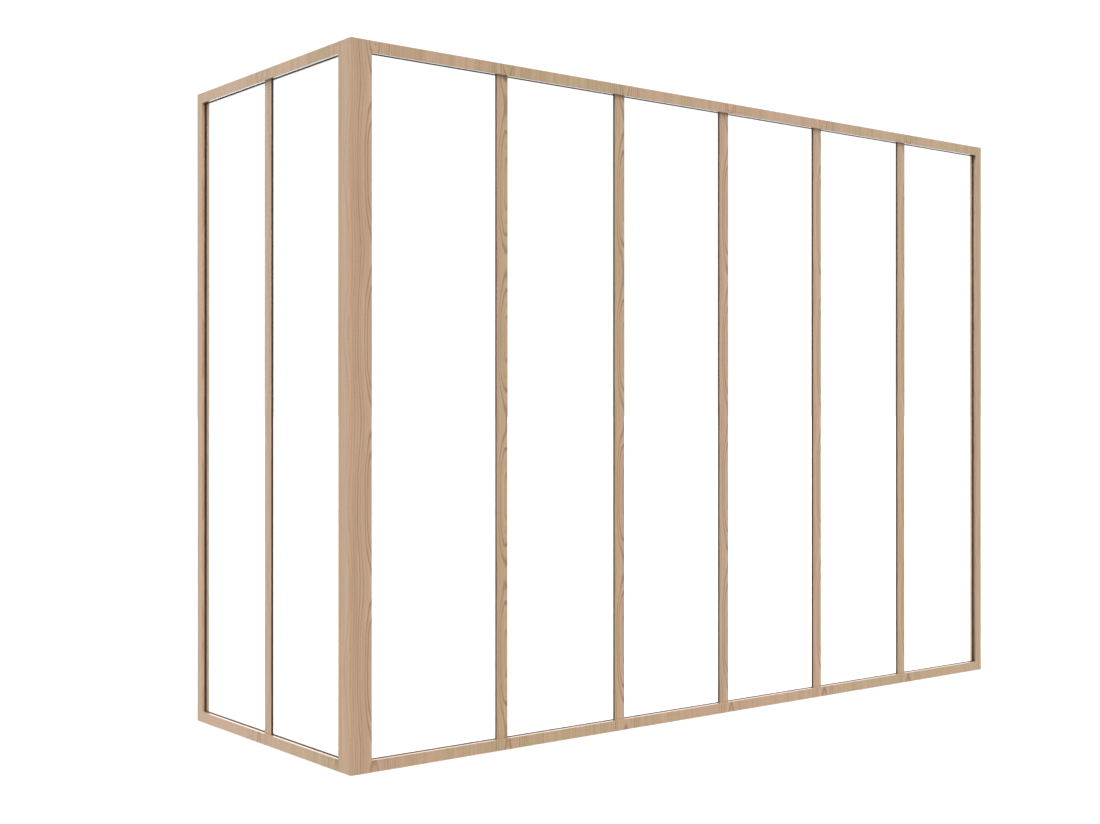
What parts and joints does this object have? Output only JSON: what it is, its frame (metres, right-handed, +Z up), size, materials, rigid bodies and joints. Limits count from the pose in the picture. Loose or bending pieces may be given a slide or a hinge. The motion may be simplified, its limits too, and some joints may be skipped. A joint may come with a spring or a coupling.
{
  "type": "corner glass partition",
  "caption": "Full-height corner partition: a long and a short glazed wing in a slim pale oak frame with flat mullions, joined at a square corner post.",
  "frame": {"origin": "on the floor, below the middle of the outline seen from above", "axes": "+X along the long wing away from the corner post, +Y along the short wing away from the post, towards the room inside the corner, +Z up"},
  "size_m": [3.485, 1.19, 2.5],
  "materials": {
    "oak": "pale plain-sawn oak, clear matt lacquer",
    "oak_foil": "extruded aluminium wrapped in the same pale oak veneer",
    "glass": "clear toughened glass, polished",
    "gasket": "dark brown EPDM, matt",
    "nylon": "grey nylon, moulded",
    "beech": "turned beech, raw",
    "zinc_steel": "bright zinc plate",
    "alloy": "sawn aluminium, plain"
  },
  "bodies": {
    "root": {"corner_post": "oak", "head_rail_long": "oak", "head_rail_short": "oak", "sill_rail_long": "oak", "sill_rail_short": "oak", "end_stile_long": "oak", "end_stile_short": "oak", "head_bead_long": "oak", "head_bead_short": "oak", "sill_bead_long": "oak", "sill_bead_short": "oak", "stile_bead_long": "oak", "stile_bead_short": "oak", "mullion_long_1": "oak_foil", "mullion_long_2": "oak_foil", "mullion_long_3": "oak_foil", "mullion_long_4": "oak_foil", "mullion_long_5": "oak_foil", "mullion_short_1": "oak_foil", "pane_long_1": "glass", "pane_long_2": "glass", "pane_long_3": "glass", "pane_long_4": "glass", "pane_long_5": "glass", "pane_long_6": "glass", "pane_short_1": "glass", "pane_short_2": "glass", "gasket_long_1": "gasket", "gasket_long_2": "gasket", "gasket_long_3": "gasket", "gasket_long_4": "gasket", "gasket_long_5": "gasket", "gasket_long_6": "gasket", "gasket_short_1": "gasket", "gasket_short_2": "gasket", "setting_blocks": "nylon", "joint_dowels": "beech", "joint_plates": "zinc_steel", "plate_screws": "zinc_steel", "mullion_screws": "zinc_steel", "bead_pins": "zinc_steel", "mullion_end_blocks": "alloy"}
  },
  "joints": []
}
